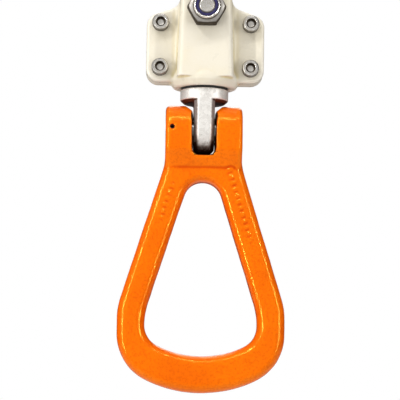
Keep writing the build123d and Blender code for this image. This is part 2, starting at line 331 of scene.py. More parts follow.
@dataclass(frozen=True)
class Enamel:
    """Thick gloss enamel over a casting."""

    name: str
    colour: Colour
    # Darker tone for random mottle and specks, and for painted shade in hollows and creases.
    dark_tone_and_shade: Colour
    # Lighter colour for a painted highlight over ridges and edges.
    edge_highlight: Colour
    gloss_tint: Colour
    gloss: float
    roughness: float
    ripple: float
    grain: float
    mottle: float

    def coat(self, graph: Graph) -> Signal:
        """Colour with painted shade in hollows and a painted highlight over ridges and edges.

        Args:
            graph: The material's graph.

        Returns:
            The colour.
        """
        relief = graph.relief()
        drift = graph.noise(45, 3).within(0.35, 0.75)
        tone = graph.mix(drift * 0.25, self.colour, self.dark_tone_and_shade)
        # Painted shade: darker in hollows and creases.
        tone = graph.mix((-relief).within(0.05, 0.7) * 0.85, tone, self.dark_tone_and_shade)
        # Painted highlight: lighter over ridges and edges.
        tone = graph.mix(relief.within(0.2, 0.95) * 0.5, tone, self.edge_highlight)
        cloud = graph.noise(850, 3, 0.65).within(0.45, 0.68)
        tone = graph.mix(cloud * self.mottle, tone, self.dark_tone_and_shade)
        speck = graph.noise(2300, 2).within(0.7, 0.76)
        return graph.mix(speck * 0.4, tone, self.dark_tone_and_shade)

    def material(self) -> bpy.types.Material:
        """Enamel with slow ripples and orange peel."""
        graph = Graph.of_material(self.name)
        haze = graph.noise(160, 4)
        wave = graph.bump(graph.noise(170, 2), self.ripple)
        peel = graph.bump(graph.noise(900, 3, 0.6), self.grain, under=wave)
        return graph.finish({
            "Base Color": self.coat(graph),
            "Roughness": self.roughness + 0.2 * (haze - 0.4),
            "Normal": peel,
            "Specular IOR Level": self.gloss,
            "Specular Tint": rgba(self.gloss_tint),
        })


@dataclass(frozen=True)
class Slot:
    """The slot in the link's head, in millimetres.

    Attributes:
        half_width: Half its width halfway through.
        draft: How much each wall falls back per millimetre of depth.
        floor: Height of the floor.
        floor_radius: Radius between floor and walls.
        mouth: Height at which the walls start to flare.
        face: Distance from the middle at which the faces begin to round.
    """

    half_width: float = 5.6
    draft: float = 0.077
    floor: float = -73.4
    floor_radius: float = 3.2
    mouth: float = -50.8
    face: float = 12.4


@dataclass(frozen=True)
class LinkEnamel(Enamel):
    """Enamel with near-black painted shade on the walls of the link's slot."""

    # Near-black colour for painted shade in the slot.
    slot_shade: Colour = (0.03, 0.005, 0.001)
    slot: Slot = Slot()

    def coat(self, graph: Graph) -> Signal:
        """The enamel, with painted shade between the ears."""
        tone = super().coat(graph)
        slot = self.slot
        ragged = graph.noise(500, 4) * 0.4
        depth = abs(graph.along("Y"))
        height = graph.along("Z")
        aside = abs(graph.along("X")) - slot.draft * depth + ragged
        inside = aside.within(slot.half_width + 0.85, slot.half_width + 0.45)
        behind = (depth + ragged).within(slot.face, slot.face - 1.0)
        above = height.within(slot.floor - 0.7, slot.floor)
        below = height.within(slot.mouth, slot.mouth - 1.5)
        outward = aside.within(slot.half_width - slot.floor_radius, slot.half_width + 0.3)
        downward = height.within(slot.floor + slot.floor_radius, slot.floor - 0.3)
        round_floor = (outward * downward).within(0.68, 0.5)
        hidden = inside * behind * above * below * round_floor
        # Painted shade: the slot's hidden walls and floor go near black.
        return graph.mix(hidden * 0.95, tone, self.slot_shade)


@dataclass(frozen=True)
class TurnedSteel:
    """Bright steel with fine tool marks round an axis along Y, or along X."""

    name: str
    colour: Colour
    stain: Colour
    roughness: float
    marks: tuple[float, float, float]
    # Colour of the painted shade on sockets, chamfers and shaded sides.
    shade_colour: Colour = (0.035, 0.022, 0.01)

    def material(self) -> bpy.types.Material:
        """Steel with tool marks, faint stains, and painted shade where its levels ask for it."""
        graph = Graph.of_material(self.name)
        streak = graph.noise(1.0, 4, 0.6, graph.stretched(self.marks))
        cloud = graph.noise(300, 4, 0.6)
        stain = cloud.within(0.5, 0.8)
        # Painted shade, read from the levels' painted_shade amounts.
        hollow = (-graph.relief()).within(0.0, 1.0)
        tone = graph.mix(stain * 0.5, self.colour, self.stain)
        tone = graph.mix(streak.within(0.3, 0.7) * 0.3, tone, self.stain)
        tone = graph.mix(hollow, tone, self.shade_colour)
        rough = self.roughness + 0.16 * streak * cloud + 0.12 * stain + 0.3 * hollow
        scored = graph.bump(streak, 0.006 * MM)
        dented = graph.bump(graph.noise(700, 2).within(0.3, 0.5), 0.005 * MM, under=scored)
        return graph.finish({
            "Base Color": tone,
            "Metallic": 1.0,
            "Roughness": rough,
            "Normal": dented,
        })


@dataclass(frozen=True)
class Galvanised:
    """Hot-dip zinc over a forging, with a sandy skin."""

    name: str
    colour: Colour
    dull: Colour
    # Brown for painted shade in the eye's hollows, under its collar and low in the link.
    shade_brown: Colour
    roughness: float
    collar_foot: float = -44.6
    # Heights between which painted shade grows where the eye sits in the link.
    shade_top: float = -65.0
    shade_foot: float = -71.5
    flat_half_width: float = 3.2

    def shade_marks(self, graph: Graph) -> Signal:
        """How much brown painted shade the zinc gets: under the collar, on the bevels beside the flat
        and low down where the eye sits in the link.

        Args:
            graph: The material's graph.

        Returns:
            0 for clean zinc, 1 for brown.
        """
        height = graph.along("Z")
        aside = abs(graph.along("X"))
        ragged = graph.noise(700, 4, 0.6) - 0.5
        below = height.within(self.collar_foot, self.collar_foot - 0.5)
        shade_under_collar = below * aside.within(5.5, 6.2)
        bevel = below * (aside + ragged).within(self.flat_half_width, self.flat_half_width + 0.9)
        shade_in_link = (height + 6.0 * ragged).within(self.shade_top, self.shade_foot)
        return shade_under_collar + 0.75 * bevel + shade_in_link

    def material(self) -> bpy.types.Material:
        """Zinc with spangle, fine grit, and brown painted shade in its hollows, under the collar and
        low in the link.
        """
        graph = Graph.of_material(self.name)
        spangle = graph.node("ShaderNodeSeparateColor", None, {"Color": graph.cells(650)})
        grit = graph.noise(1500, 4, 0.7)
        tone = graph.mix(spangle.within(0.1, 0.9) * 0.35, self.colour, self.dull)
        tone = graph.mix(grit.within(0.52, 0.72) * 0.6, tone, self.dull)
        # Painted shade in hollows.
        hollow = (-graph.relief()).within(0.1, 0.8) * 0.6
        brown = self.shade_marks(graph)
        tone = graph.mix(brown + hollow, tone, self.shade_brown)
        rough = self.roughness + 0.22 * (grit - 0.45) + 0.12 * spangle
        pitted = graph.bump(grit, 0.07 * MM)
        rolled = graph.bump(graph.noise(320, 3), 0.1 * MM, under=pitted)
        return graph.finish({
            "Base Color": tone,
            "Metallic": 0.6,
            "Roughness": rough,
            "Normal": rolled,
        })


@dataclass(frozen=True)
class Moulded:
    """Plastic or rubber."""

    name: str
    colour: Colour
    light: Colour
    roughness: float
    grain: float

    def material(self) -> bpy.types.Material:
        """Moulded skin with flow marks and a dusty bloom."""
        graph = Graph.of_material(self.name)
        flow = graph.noise(420, 4, 0.6)
        tone = graph.mix(flow.within(0.35, 0.8) * 0.6, self.colour, self.light)
        rough = self.roughness + 0.25 * (flow - 0.5)
        skin = graph.bump(graph.noise(2400, 2), self.grain)
        return graph.finish({"Base Color": tone, "Roughness": rough, "Normal": skin})


class Finishes:
    """Every material of the object, made once."""

    def __init__(self) -> None:
        """Make the materials."""
        round_y = (900.0, 40.0, 900.0)
        round_x = (40.0, 900.0, 900.0)
        round_z = (900.0, 900.0, 60.0)
        # Each enamel paints shade into its hollows and a highlight over its edges.
        self.cream = Enamel(
            name="cream_enamel", colour=(0.76, 0.705, 0.585), dark_tone_and_shade=(0.68, 0.575, 0.32),
            edge_highlight=(0.84, 0.8, 0.71), gloss_tint=(1.0, 0.97, 0.9), gloss=0.5, roughness=0.28,
            ripple=0.1 * MM, grain=0.025 * MM, mottle=0.06,
        ).material()
        self.orange = LinkEnamel(
            name="orange_enamel", colour=(0.92, 0.146, 0.0002), dark_tone_and_shade=(0.6, 0.035, 0.0002),
            edge_highlight=(1.0, 0.19, 0.0006), gloss_tint=(1.0, 0.72, 0.08), gloss=1.0, roughness=0.13,
            ripple=0.24 * MM, grain=0.09 * MM, mottle=0.38,
        ).material()
        self.fastener = TurnedSteel(
            "stainless_fastener", (0.84, 0.81, 0.76), (0.44, 0.37, 0.27), 0.2, round_y
        ).material()
        self.pin = TurnedSteel(
            "pin_steel", (0.6, 0.58, 0.56), (0.3, 0.27, 0.24), 0.25, round_x
        ).material()
        self.bearing = TurnedSteel(
            "bearing_steel", (0.75, 0.75, 0.76), (0.55, 0.5, 0.42), 0.12, round_z
        ).material()
        self.spring = TurnedSteel(
            "dark_spring_steel", (0.06, 0.055, 0.05), (0.12, 0.08, 0.05), 0.4, round_y
        ).material()
        self.bronze = TurnedSteel(
            "bronze", (0.72, 0.45, 0.18), (0.4, 0.22, 0.09), 0.25, round_z
        ).material()
        self.zinc = Galvanised(
            "galvanised_steel", (0.86, 0.83, 0.78), (0.52, 0.49, 0.45), (0.07, 0.022, 0.012), 0.45
        ).material()
        self.nylon = Moulded(
            "blue_nylon", (0.012, 0.009, 0.06), (0.035, 0.03, 0.14), 0.35, 0.01 * MM
        ).material()
        self.rubber = Moulded(
            "black_rubber", (0.012, 0.012, 0.012), (0.05, 0.048, 0.045), 0.6, 0.02 * MM
        ).material()


# --------------------------------------------------------------------------
# Meshes
# --------------------------------------------------------------------------


class Form(Enum):
    """Outline of one level of a piece."""

    ROUND = "round"
    HEXAGON = "hexagon"


class Facing(Enum):
    """Which way a piece built along +Z points on the object."""

    UP = Matrix.Identity(4)
    FRONT = Matrix.Rotation(math.radians(90), 4, "X")
    REAR = Matrix.Rotation(math.radians(-90), 4, "X")
    RIGHT = Matrix.Rotation(math.radians(90), 4, "Y")


@dataclass(frozen=True)
class Level:
    """One closed loop of a turned or hexagonal piece, in millimetres.

    Attributes:
        size: Radius, or half the width across flats.
        height: Height along the piece's own axis.
        form: Round or hexagonal.
        fall: Slope at which a hexagon's corners drop below the height.
        flute: Depth of the grooves of a knurled loop.
        painted_shade: How much painted shade the surface gets there, 0 to 1.
    """

    size: float
    height: float
    form: Form = Form.ROUND
    fall: float = 0.0
    flute: float = 0.0
    # How much painted shade this level gets, 0 to 1.
    painted_shade: float = 0.0


def shape_loop(verts: list[bmesh.types.BMVert], level: Level,
               relief: bmesh.types.BMLayerItem) -> None:
    """Move a closed loop of points onto a level.

    Args:
        verts: The loop's points, evenly spaced round the axis.
        level: Where they go.
        relief: The layer that keeps how much painted shade they get.
    """
    for vert in verts:
        angle = math.atan2(vert.co.y, vert.co.x) % FULL_TURN
        radius = level.size
        if level.form is Form.HEXAGON:
            radius = level.size / math.cos(angle % (FULL_TURN / 6) - FULL_TURN / 12)
        elif round(angle / FULL_TURN * AROUND) % 2:
            radius -= level.flute
        height = level.height - level.fall * (radius - level.size)
        vert.co = Vector((radius * math.cos(angle), radius * math.sin(angle), height)) * MM
        # Painted shade is stored as negative relief.
        vert[relief] = -level.painted_shade


def build_levels(levels: list[Level], hollow: bool = False) -> bmesh.types.BMesh:
    """Draw one loop out from level to level into a closed skin.

    Args:
        levels: The loops in order along the surface.
        hollow: True joins the last loop to the first, for a ring; False caps both ends.

    Returns:
        The closed mesh.
    """
    work = bmesh.new()
    relief = work.verts.layers.float.new(RELIEF)
    verts = bmesh.ops.create_circle(work, segments=AROUND, radius=MM)["verts"]
    shape_loop(verts, levels[0], relief)
    start = loop = list(work.edges)
    for level in levels[1:] + levels[:1] * hollow:
        drawn = bmesh.ops.extrude_edge_only(work, edges=loop)["geom"]
        fresh = {item for item in drawn if isinstance(item, bmesh.types.BMVert)}
        shape_loop(list(fresh), level, relief)
        loop = list({e for vert in fresh for e in vert.link_edges if e.other_vert(vert) in fresh})
    if hollow:
        bmesh.ops.remove_doubles(work, verts=work.verts, dist=WELD / 10)
    else:
        for end in (start, loop):
            bmesh.ops.contextual_create(work, geom=end)
    bmesh.ops.recalc_face_normals(work, faces=work.faces)
    return work


def spin_profile(outline: list[tuple[float, float]], closed: bool) -> bmesh.types.BMesh:
    """Turn a profile once round Z.

    Args:
        outline: Radius and height of each point, in millimetres.
        closed: True for a ring's section, False for a solid whose ends lie on the axis.

    Returns:
        The turned mesh.
    """
    work = bmesh.new()
    verts = [work.verts.new((radius * MM, 0, height * MM)) for radius, height in outline]
    pairs = list(zip(verts, verts[1:])) + ([(verts[-1], verts[0])] if closed else [])
    edges = [work.edges.new(pair) for pair in pairs]
    bmesh.ops.spin(
        work, geom=verts + edges, cent=(0, 0, 0), axis=(0, 0, 1), angle=FULL_TURN,
        steps=AROUND, use_merge=True,
    )
    bmesh.ops.remove_doubles(work, verts=work.verts, dist=WELD / 10)
    bmesh.ops.recalc_face_normals(work, faces=work.faces)
    return work


def sharp_edges(work: bmesh.types.BMesh, degrees: float) -> list[bmesh.types.BMEdge]:
    """Edges that turn by more than an angle."""
    limit = math.radians(degrees)
    return [e for e in work.edges if len(e.link_faces) == 2 and e.calc_face_angle(0) > limit]


def ease_edges(work: bmesh.types.BMesh, width: float, degrees: float = 25) -> None:
    """Round the sharp edges so that they catch the light.

    Args:
        work: The mesh.
        width: Width of the rounding in millimetres.
        degrees: Edges that turn by more than this are rounded.
    """
    bmesh.ops.bevel(
        work, geom=sharp_edges(work, degrees), offset=width * MM, segments=2, profile=0.5,
        affect="EDGES", material=-1, clamp_overlap=True,
    )


def finished(work: bmesh.types.BMesh, name: str, facing: Facing, centre: Vector,
             material: bpy.types.Material, crease: float = 32) -> bpy.types.Object:
    """Place a mesh and make it an object.

    Args:
        work: The mesh about its own axis; it is freed.
        name: The piece's name.
        facing: Where its axis points.
        centre: Where its origin goes, in metres.
        material: Its finish.
        crease: Edges that turn by more than these degrees stay sharp.

    Returns:
        The new object, at the origin.
    """
    bmesh.ops.transform(work, matrix=facing.value, verts=work.verts)
    bmesh.ops.translate(work, vec=centre, verts=work.verts)
    for face in work.faces:
        face.smooth = True
    for edge in sharp_edges(work, crease):
        edge.smooth = False
    mesh = bpy.data.meshes.new(name)
    work.to_mesh(mesh)
    work.free()
    return placed(mesh, name, material)


def placed(mesh: bpy.types.Mesh, name: str, material: bpy.types.Material) -> bpy.types.Object:
    """Link a mesh as an object that wears one material."""
    mesh.materials.clear()
    mesh.materials.append(material)
    piece = bpy.data.objects.new(name, mesh)
    bpy.context.scene.collection.objects.link(piece)
    return piece


def freeze(piece: bpy.types.Object) -> None:
    """Apply every modifier of a piece to its mesh."""
    graph = bpy.context.evaluated_depsgraph_get()
    mesh = bpy.data.meshes.new_from_object(piece.evaluated_get(graph))
    piece.modifiers.clear()
    piece.data = mesh


def measure_relief(mesh: bpy.types.Mesh) -> None:
    """Store on each point how far it stands out of (+) or into (-) its surroundings.

    Args:
        mesh: An even mesh.
    """
    count = len(mesh.vertices)
    points = np.zeros(count * 3)
    mesh.vertices.foreach_get("co", points)
    points = points.reshape(-1, 3)
    normals = np.zeros(count * 3, np.float32)
    mesh.vertex_normals.foreach_get("vector", normals)
    normals = normals.reshape(-1, 3)
    pairs = np.zeros(len(mesh.edges) * 2, np.int32)
    mesh.edges.foreach_get("vertices", pairs)
    first, second = pairs.reshape(-1, 2).T
    degree = np.bincount(first, minlength=count) + np.bincount(second, minlength=count)
    degree = np.maximum(degree, 1)

    def around(values: np.ndarray) -> np.ndarray:
        """Mean of a value over each point's neighbours."""
        total = np.bincount(first, values[second], count) + np.bincount(second, values[first], count)
        return total / degree

    lean = np.stack([around(points[:, axis]) for axis in range(3)], axis=1) - points
    height = -(lean * normals).sum(axis=1)
    for _ in range(RELIEF_ROUNDS):
        height = 0.4 * height + 0.6 * around(height)
    height = height / (np.percentile(np.abs(height), MARKED_SHARE) + 1e-12)
    layer = mesh.attributes.new(RELIEF, "FLOAT", "POINT")
    layer.data.foreach_set("value", np.clip(height, -1, 1).astype(np.float32))


@dataclass(frozen=True)
class Skin:
    """How a casting or forging is skinned, in millimetres.

    Attributes:
        voxel: Size of the mesh's cells.
        relax: Rounds of smoothing, which draw soft fillets into every corner.
        wave: Height of the skin's slow waves.
        wave_length: Length of those waves.
    """

    voxel: float
    relax: int
    wave: float
    wave_length: float

    def over(self, work: bmesh.types.BMesh, name: str,
             material: bpy.types.Material) -> bpy.types.Object:
        """Skin a closed rough mesh.

        Args:
            work: The rough mesh, which may be several closed shells; it is freed.
            name: The piece's name.
            material: Its finish.

        Returns:
            The skinned object with its relief measured.
        """
        mesh = bpy.data.meshes.new(name)
        work.to_mesh(mesh)
        work.free()
        piece = placed(mesh, name, material)
        remesh = piece.modifiers.new("cells", "REMESH")
        remesh.mode = "VOXEL"
        remesh.voxel_size = self.voxel * MM
        remesh.use_smooth_shade = True
        relax = piece.modifiers.new("relax", "SMOOTH")
        relax.factor = 0.5
        relax.iterations = self.relax
        wave = piece.modifiers.new("wave", "DISPLACE")
        wave.texture = bpy.data.textures.new(name, "CLOUDS")
        wave.texture.noise_scale = self.wave_length * MM
        wave.texture_coords = "LOCAL"
        wave.strength = self.wave * MM
        wave.mid_level = WAVE_MIDDLE
        freeze(piece)
        piece.data.materials.clear()
        piece.data.materials.append(material)
        measure_relief(piece.data)
        return piece


def rough_copy(node: str) -> bmesh.types.BMesh:
    """Copy of a CAD node's mesh with its loose triangles merged."""
    work = bmesh.new()
    work.from_mesh(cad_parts[node].data)
    bmesh.ops.remove_doubles(work, verts=work.verts, dist=WELD / 10)
    return work


def install(piece: bpy.types.Object, body: str, slot: str, *nodes: str) -> None:
    """Let a piece ride on a body and stand for its CAD nodes.

    Args:
        piece: The finished piece.
        body: The CAD body that it moves with.
        slot: The record's material slot; not used.
        nodes: CAD nodes that it stands for.
    """
    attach(piece, body)
    if nodes:
        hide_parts(*nodes)
    log.info("%s: %d faces on %s", piece.name, len(piece.data.polygons), body)


def dress(node: str, material: bpy.types.Material) -> None:
    """Give a CAD node that keeps its shape its finish."""
    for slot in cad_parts[node].material_slots:
        slot.material = material
    log.info("%s: dressed in %s", node, material.name)


def middle(node: str) -> Vector:
    """Centre of a CAD node's box."""
    low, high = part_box(node)
    return (low + high) / 2


# --------------------------------------------------------------------------
# Sub-assemblies
# --------------------------------------------------------------------------


@dataclass
class Housing:
    """The two cast halves and what clamps them together."""

    finishes: Finishes
    skin: Skin = Skin(voxel=0.5, relax=7, wave=0.12, wave_length=9.0)
    head_radius: float = 4.25
    head_height: float = 5.0
    socket_flats: float = 4.0
    socket_depth: float = 2.6
    stem_radius: float = 2.5

    def build(self) -> None:
        """Build the castings, screws and dowels."""
        for half in ("housing_front", "housing_rear"):
            casting = self.skin.over(rough_copy(half), f"{half}_casting", self.finishes.cream)
            install(casting, "housing", "cream_enamel", half)
        self.build_screws()
        dress("locating_dowels", self.finishes.bearing)

    def build_screws(self) -> None:
        """Build the four cap screws where the CAD screws stand."""
        low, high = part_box("cap_screws")
        edge = self.head_radius * MM
        columns = (low.x + edge, high.x - edge)
        rows = (low.z + edge, high.z - edge)
        seat_y = low.y + self.head_height * MM
        tip = (high.y - seat_y) / MM
        for count, (x, z) in enumerate(((x, z) for x in columns for z in rows), 1):
            screw = finished(
                self.screw_mesh(tip), f"cap_screw_{count}", Facing.FRONT,
                Vector((x, seat_y, z)), self.finishes.fastener,
            )
            install(screw, "housing", "stainless_fastener", "cap_screws")

    def screw_mesh(self, stem_length: float) -> bmesh.types.BMesh:
        """One socket-head screw with a knurled head.

        Args:
            stem_length: Length under the head, in millimetres.

        Returns:
            The screw about +Z, with the head above 0.
        """
        top, rim = self.head_height, self.head_radius
        socket = self.socket_flats / 2
        floor = top - self.socket_depth
        # Painted shade on the head's side and underside and on the socket's walls.
        levels = [
            Level(self.stem_radius - 0.5, -stem_length),
            Level(self.stem_radius, -stem_length + 0.5),
            Level(self.stem_radius, 0),
            Level(rim - 0.25, 0, painted_shade=0.9),
            Level(rim, 0.25, painted_shade=0.85),
            Level(rim, 0.4, painted_shade=0.7),
            Level(rim, 0.5, flute=0.12, painted_shade=0.75),
            Level(rim, top - 1.2, flute=0.12, painted_shade=0.7),
            Level(rim, top - 1.05, painted_shade=0.6),
            Level(rim - 0.2, top - 0.45, painted_shade=0.6),
            Level(rim - 0.75, top),
            Level(socket + 0.65, top),
            Level(socket + 0.5, top - 0.1, painted_shade=0.85),
            Level(socket, top - 0.4, Form.HEXAGON, painted_shade=0.95),
            Level(socket, floor + 0.2, Form.HEXAGON, painted_shade=1.0),
            Level(socket - 0.4, floor, painted_shade=0.7),
            Level(1.2, floor - 0.05),
            Level(0.25, floor - 0.3),
        ]
        work = build_levels(levels)
        ease_edges(work, 0.05, 40)
        return work


@dataclass
class AnchorFastener:
    """The through bolt and its lock nut."""

    finishes: Finishes
    flats: float = 17.0
    thread_radius: float = 5.0
    pitch: float = 1.5
    thread_depth: float = 0.55
    threads: int = 12
    head_height: float = 6.4
    nut_height: float = 10.0
    nut_hex_height: float = 7.9
    lip_radius: float = 6.7
    insert_radius: float = 5.65
    chamfer_slope: float = math.tan(math.radians(30))

    def build(self) -> None:
        """Build the bolt, the nut and its plastic ring."""
        bolt_low, bolt_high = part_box("anchor_bolt")
        head_seat = Vector((0, bolt_high.y - self.head_height * MM, 0))
        length = (head_seat.y - bolt_low.y) / MM
        bolt = finished(
            self.bolt_mesh(length), "anchor_bolt_turned", Facing.REAR, head_seat,
            self.finishes.fastener,
        )
        install(bolt, "housing", "stainless_fastener", "anchor_bolt")
        nut_seat = Vector((0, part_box("anchor_nut")[1].y, 0))
        nut = finished(
            self.nut_mesh(), "anchor_lock_nut", Facing.FRONT, nut_seat, self.finishes.fastener
        )
        install(nut, "housing", "stainless_fastener", "anchor_nut")
        insert_low, insert_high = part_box("nylon_insert")
        height = (insert_high.y - insert_low.y) / MM
        insert = finished(
            self.insert_mesh(height), "nylon_ring", Facing.FRONT,
            Vector((0, insert_high.y, 0)), self.finishes.nylon,
        )
        install(insert, "housing", "blue_nylon", "nylon_insert")

    def bolt_mesh(self, length: float) -> bmesh.types.BMesh:
        """Hexagon bolt with its head above 0 and its thread at the far end.

        Args:
            length: Length under the head, in millimetres.

        Returns:
            The bolt about +Z.
        """
        radius, flats = self.thread_radius, self.flats / 2
        pitch, depth, threads = self.pitch, self.thread_depth, self.threads
        # Painted shade on the thread's end chamfer.
        levels = [
            Level(radius - 2.1, -length + 0.12),
            Level(radius - 1.7, -length),
            Level(radius - 1.45, -length + 0.1, painted_shade=0.5),
            Level(radius - 0.9, -length + 0.75, painted_shade=0.9),
        ]
        start = -length + 1.0
        for turn in range(threads):
            base = start + turn * pitch
            levels.append(Level(radius - 0.03, base))
            levels.append(Level(radius - 0.03, base + 0.25))
            levels.append(Level(radius - depth, base + pitch / 2))
            levels.append(Level(radius - depth, base + pitch / 2 + 0.15))
        levels += [
            Level(radius, start + threads * pitch),
            Level(radius, 0),
            Level(flats - 0.3, 0),
            Level(flats - 0.3, 0.35),
            Level(flats, 0.4, Form.HEXAGON),
            Level(flats, self.head_height, Form.HEXAGON, fall=self.chamfer_slope),
            Level(flats - 0.25, self.head_height),
            Level(flats - 2.6, self.head_height),
            Level(flats - 3.0, self.head_height - 0.2),
        ]
        work = build_levels(levels)
        ease_edges(work, 0.12, 28)
        return work

    def nut_mesh(self) -> bmesh.types.BMesh:
        """Lock nut with chamfered corners and a rolled lip."""
        flats, hexagon, top = self.flats / 2, self.nut_hex_height, self.nut_height
        lip, bore = self.lip_radius, self.insert_radius
        # Painted shade on the hex flats, the chamfers and the groove under the lip.
        levels = [
            Level(flats - 0.3, 0, painted_shade=1.0),
            Level(flats, 0, Form.HEXAGON, fall=-self.chamfer_slope, painted_shade=1.0),
            Level(flats, 0.8, Form.HEXAGON, painted_shade=1.0),
            Level(flats, hexagon - 0.3, Form.HEXAGON, fall=self.chamfer_slope, painted_shade=1.0),
            Level(flats - 0.2, hexagon - 0.3, painted_shade=0.4),
            Level(lip + 0.7, hexagon, painted_shade=0.4),
            Level(lip + 0.15, hexagon + 0.15, painted_shade=0.9),
            Level(lip, hexagon + 0.5, painted_shade=0.4),
            Level(lip, top - 0.75),
            Level(lip - 0.2, top - 0.2),
            Level(lip - 0.55, top),
            Level(bore + 0.2, top - 0.1),
            Level(bore + 0.02, top - 0.35),
            Level(bore, top - 3.0),
            Level(self.thread_radius, top - 3.1),
            Level(self.thread_radius, 0.6),
            Level(self.thread_radius + 0.6, 0),
        ]
        work = build_levels(levels, hollow=True)
        ease_edges(work, 0.12, 28)
        return work

    def insert_mesh(self, height: float) -> bmesh.types.BMesh:
        """Plastic ring, pushed up a little where the bolt came through.

        Args:
            height: The ring's height, in millimetres.

        Returns:
            The ring about +Z, from 0 up.
        """
        outer, inner = self.insert_radius - 0.06, self.thread_radius - 1.05
        levels = [
            Level(outer, 0),
            Level(outer, height - 0.25),
            Level(outer - 0.2, height - 0.02),
            Level(inner + 0.65, height),
            Level(inner + 0.25, height - 0.1),
            Level(inner, height - 0.35),
            Level(inner, 0),
        ]
        work = build_levels(levels, hollow=True)
        ease_edges(work, 0.05, 30)
        return work


@dataclass
class Swivel:
    """The eye and the bearing that carries it."""

    finishes: Finishes
    skin: Skin = Skin(voxel=0.35, relax=4, wave=0.1, wave_length=5.0)
    seal_bore: float = 8.5

    def build(self) -> None:
        """Build the eye and dress the bearing."""
        eye = self.skin.over(rough_copy("swivel_eye"), "swivel_eye_forging", self.finishes.zinc)
        install(eye, "swivel", "galvanised_steel", "swivel_eye")
        seal = finished(
            self.seal_mesh(), "dust_seal_lip", Facing.UP, Vector(), self.finishes.rubber
        )
        install(seal, "housing", "black_rubber", "dust_seal")
        for node in ("lower_race", "upper_race", "bearing_balls", "nut_lock_pin"):
            dress(node, self.finishes.bearing)
        for node in ("shank_bush", "ball_cage"):
            dress(node, self.finishes.bronze)
        dress("shank_nut", self.finishes.fastener)

    def seal_mesh(self) -> bmesh.types.BMesh:
        """Rubber ring with a groove round its lower face."""
        low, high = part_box("dust_seal")
        bottom, top, outer = low.z / MM, high.z / MM, high.x / MM
        inner = self.seal_bore
        outline = [
            (inner, top), (outer, top), (outer, bottom + 0.3), (outer - 0.3, bottom),
            (outer - 1.0, bottom), (outer - 1.3, bottom + 0.35), (outer - 1.9, bottom + 0.35),
            (outer - 2.2, bottom), (inner + 0.2, bottom), (inner, bottom + 0.2),
        ]
        return spin_profile(outline, closed=True)


